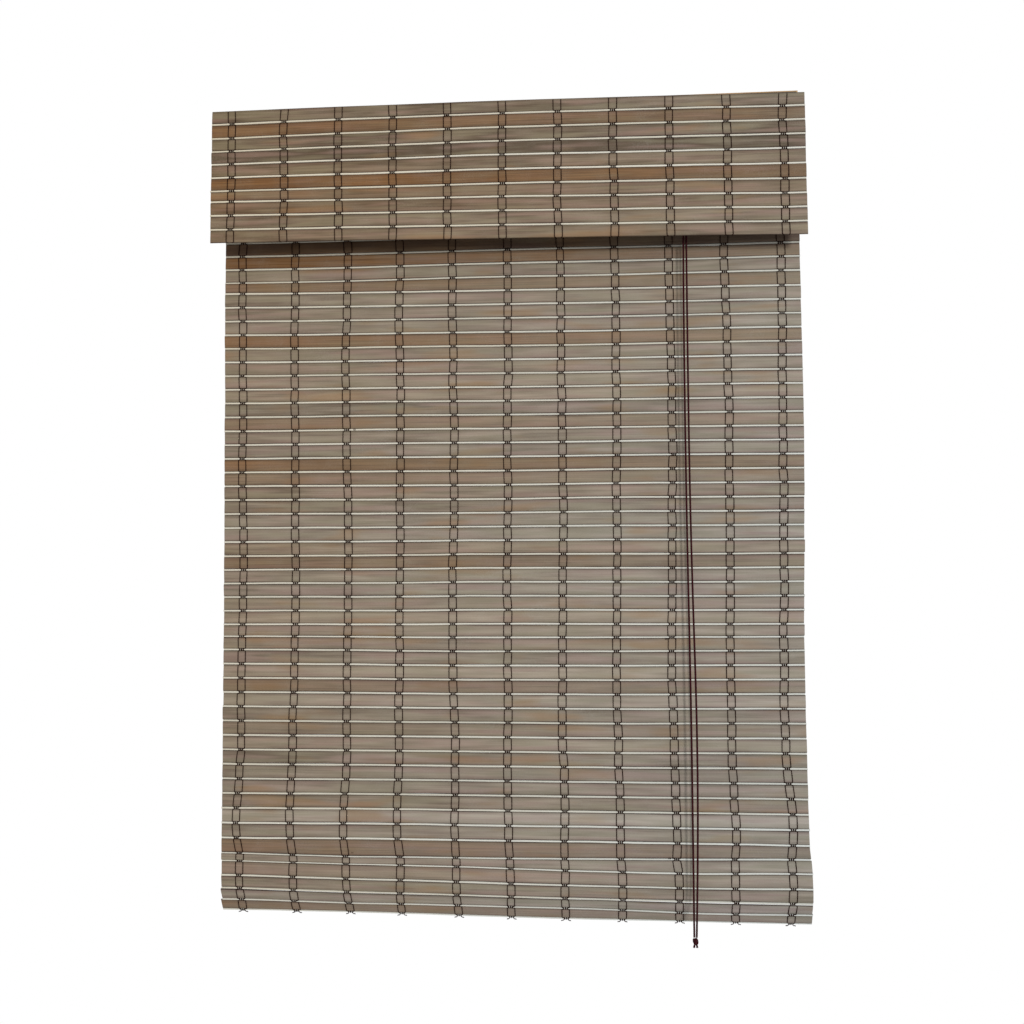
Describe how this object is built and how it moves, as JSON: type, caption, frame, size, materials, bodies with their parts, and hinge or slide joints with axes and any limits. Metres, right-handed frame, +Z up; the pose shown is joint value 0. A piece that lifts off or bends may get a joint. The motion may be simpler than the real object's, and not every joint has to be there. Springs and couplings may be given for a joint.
{
  "type": "bamboo roman blind",
  "caption": "Woven bamboo blind with a valance, lifted in flat pleats by cords that run behind the mat to a cord lock under a wooden headrail.",
  "frame": {"origin": "centre of the headrail's top face, midway between the two mounting holes", "axes": "+Z up, out of the headrail's top face; -Y towards the room, where the valance faces; +X to the right as seen from the room"},
  "size_m": [0.6, 0.0601, 0.8295],
  "materials": {
    "bamboo_slats": "matt, dry split bamboo",
    "pale_sticks": "matt pale reed",
    "brown_thread": "twisted thread",
    "headrail_wood": "planed softwood",
    "tape": "hook and loop",
    "plated_steel": "zinc plated",
    "lock_plastic": "moulded plastic",
    "pulley_plastic": "moulded nylon",
    "roller_brass": "serrated brass",
    "ring_plastic": "moulded plastic",
    "maroon_cord": "braided cord"
  },
  "bodies": {
    "headrail": {"headrail": "headrail_wood", "valance_tape": "tape", "mat_staples": "plated_steel", "guide_eye_left": "plated_steel", "guide_eye_right": "plated_steel", "lock_housing": "lock_plastic", "lock_axle": "plated_steel", "lock_screws": "plated_steel", "lift_run_left": "maroon_cord", "lift_run_right": "maroon_cord", "lift_cord_left": "maroon_cord", "lift_cord_right": "maroon_cord", "pull_cord_left_top": "maroon_cord", "pull_cord_right_top": "maroon_cord", "valance_slats": "bamboo_slats", "valance_sticks": "pale_sticks", "valance_threads": "brown_thread", "top_slats": "bamboo_slats", "top_sticks": "pale_sticks", "top_threads": "brown_thread"},
    "lock_pulley": {"lock_pulley": "pulley_plastic"},
    "lock_roller": {"lock_roller": "roller_brass"},
    "pull_cords": {"pull_cord_left_drop": "maroon_cord", "pull_cord_right_drop": "maroon_cord", "cord_knot": "maroon_cord"},
    "panel_1": {"panel_1_slats": "bamboo_slats", "panel_1_sticks": "pale_sticks", "panel_1_threads": "brown_thread"},
    "panel_2": {"panel_2_slats": "bamboo_slats", "panel_2_sticks": "pale_sticks", "panel_2_threads": "brown_thread"},
    "ring_row_1": {"ring_row_1_slats": "bamboo_slats", "ring_row_1_sticks": "pale_sticks", "ring_row_1_threads": "brown_thread", "ring_row_1_rings": "ring_plastic"},
    "panel_3": {"panel_3_slats": "bamboo_slats", "panel_3_sticks": "pale_sticks", "panel_3_threads": "brown_thread"},
    "panel_4": {"panel_4_slats": "bamboo_slats", "panel_4_sticks": "pale_sticks", "panel_4_threads": "brown_thread"},
    "ring_row_2": {"ring_row_2_slats": "bamboo_slats", "ring_row_2_sticks": "pale_sticks", "ring_row_2_threads": "brown_thread", "ring_row_2_rings": "ring_plastic"},
    "panel_5": {"panel_5_slats": "bamboo_slats", "panel_5_sticks": "pale_sticks", "panel_5_threads": "brown_thread"},
    "panel_6": {"panel_6_slats": "bamboo_slats", "panel_6_sticks": "pale_sticks", "panel_6_threads": "brown_thread"},
    "hem": {"hem_slats": "bamboo_slats", "hem_sticks": "pale_sticks", "hem_threads": "brown_thread", "hem_rings": "ring_plastic", "stop_beads": "ring_plastic"}
  },
  "joints": [
    {"name": "pulley_spin", "type": "hinge", "parent": "headrail", "child": "lock_pulley", "pos_m": [0.178, 0.002, -0.03055], "axis": [0, 1, 0], "continuous": true},
    {"name": "roller_grip", "type": "slide", "parent": "headrail", "child": "lock_roller", "axis": [-0.5, 0, 0.866], "range_m": [0, 0.003]},
    {"name": "lift", "type": "hinge", "parent": "headrail", "child": "panel_1", "pos_m": [0, 0.0181, -0.144], "axis": [-1, 0, 0], "range_deg": [0, 86], "deforming": ["lift_cord_left", "lift_cord_right"]},
    {"name": "fold_panel_1_to_panel_2", "type": "hinge", "parent": "panel_1", "child": "panel_2", "pos_m": [0, 0.0214, -0.2292], "axis": [1, 0, 0], "range_deg": [0, 172.5]},
    {"name": "fold_panel_2_to_ring_row_1", "type": "hinge", "parent": "panel_2", "child": "ring_row_1", "pos_m": [0, 0.0181, -0.3144], "axis": [-1, 0, 0], "range_deg": [0, 86.5]},
    {"name": "fold_ring_row_1_to_panel_3", "type": "hinge", "parent": "ring_row_1", "child": "panel_3", "pos_m": [0, 0.0181, -0.3286], "axis": [-1, 0, 0], "range_deg": [0, 86.5]},
    {"name": "fold_panel_3_to_panel_4", "type": "hinge", "parent": "panel_3", "child": "panel_4", "pos_m": [0, 0.0214, -0.428], "axis": [1, 0, 0], "range_deg": [0, 172.5]},
    {"name": "fold_panel_4_to_ring_row_2", "type": "hinge", "parent": "panel_4", "child": "ring_row_2", "pos_m": [0, 0.0181, -0.5274], "axis": [-1, 0, 0], "range_deg": [0, 86.5]},
    {"name": "fold_ring_row_2_to_panel_5", "type": "hinge", "parent": "ring_row_2", "child": "panel_5", "pos_m": [0, 0.0181, -0.5416], "axis": [-1, 0, 0], "range_deg": [0, 86.5]},
    {"name": "fold_panel_5_to_panel_6", "type": "hinge", "parent": "panel_5", "child": "panel_6", "pos_m": [0, 0.0214, -0.641], "axis": [1, 0, 0], "range_deg": [0, 172.5]},
    {"name": "fold_panel_6_to_hem", "type": "hinge", "parent": "panel_6", "child": "hem", "pos_m": [0, 0.0181, -0.7404], "axis": [-1, 0, 0], "range_deg": [0, 86.5]},
    {"name": "pull_cord_shift", "type": "slide", "parent": "headrail", "child": "pull_cords", "axis": [0, -1, 0], "range_m": [0, 0.116]}
  ],
  "couplings": [
    {"joint": "fold_panel_1_to_panel_2", "follows": "lift", "ratio": 2},
    {"joint": "fold_panel_2_to_ring_row_1", "follows": "lift", "ratio": 1},
    {"joint": "fold_ring_row_1_to_panel_3", "follows": "lift", "ratio": 1},
    {"joint": "fold_panel_3_to_panel_4", "follows": "lift", "ratio": 2},
    {"joint": "fold_panel_4_to_ring_row_2", "follows": "lift", "ratio": 1},
    {"joint": "fold_ring_row_2_to_panel_5", "follows": "lift", "ratio": 1},
    {"joint": "fold_panel_5_to_panel_6", "follows": "lift", "ratio": 2},
    {"joint": "fold_panel_6_to_hem", "follows": "lift", "ratio": 1},
    {"joint": "pull_cord_shift", "follows": "lift", "m_per_rad": 0.076}
  ]
}
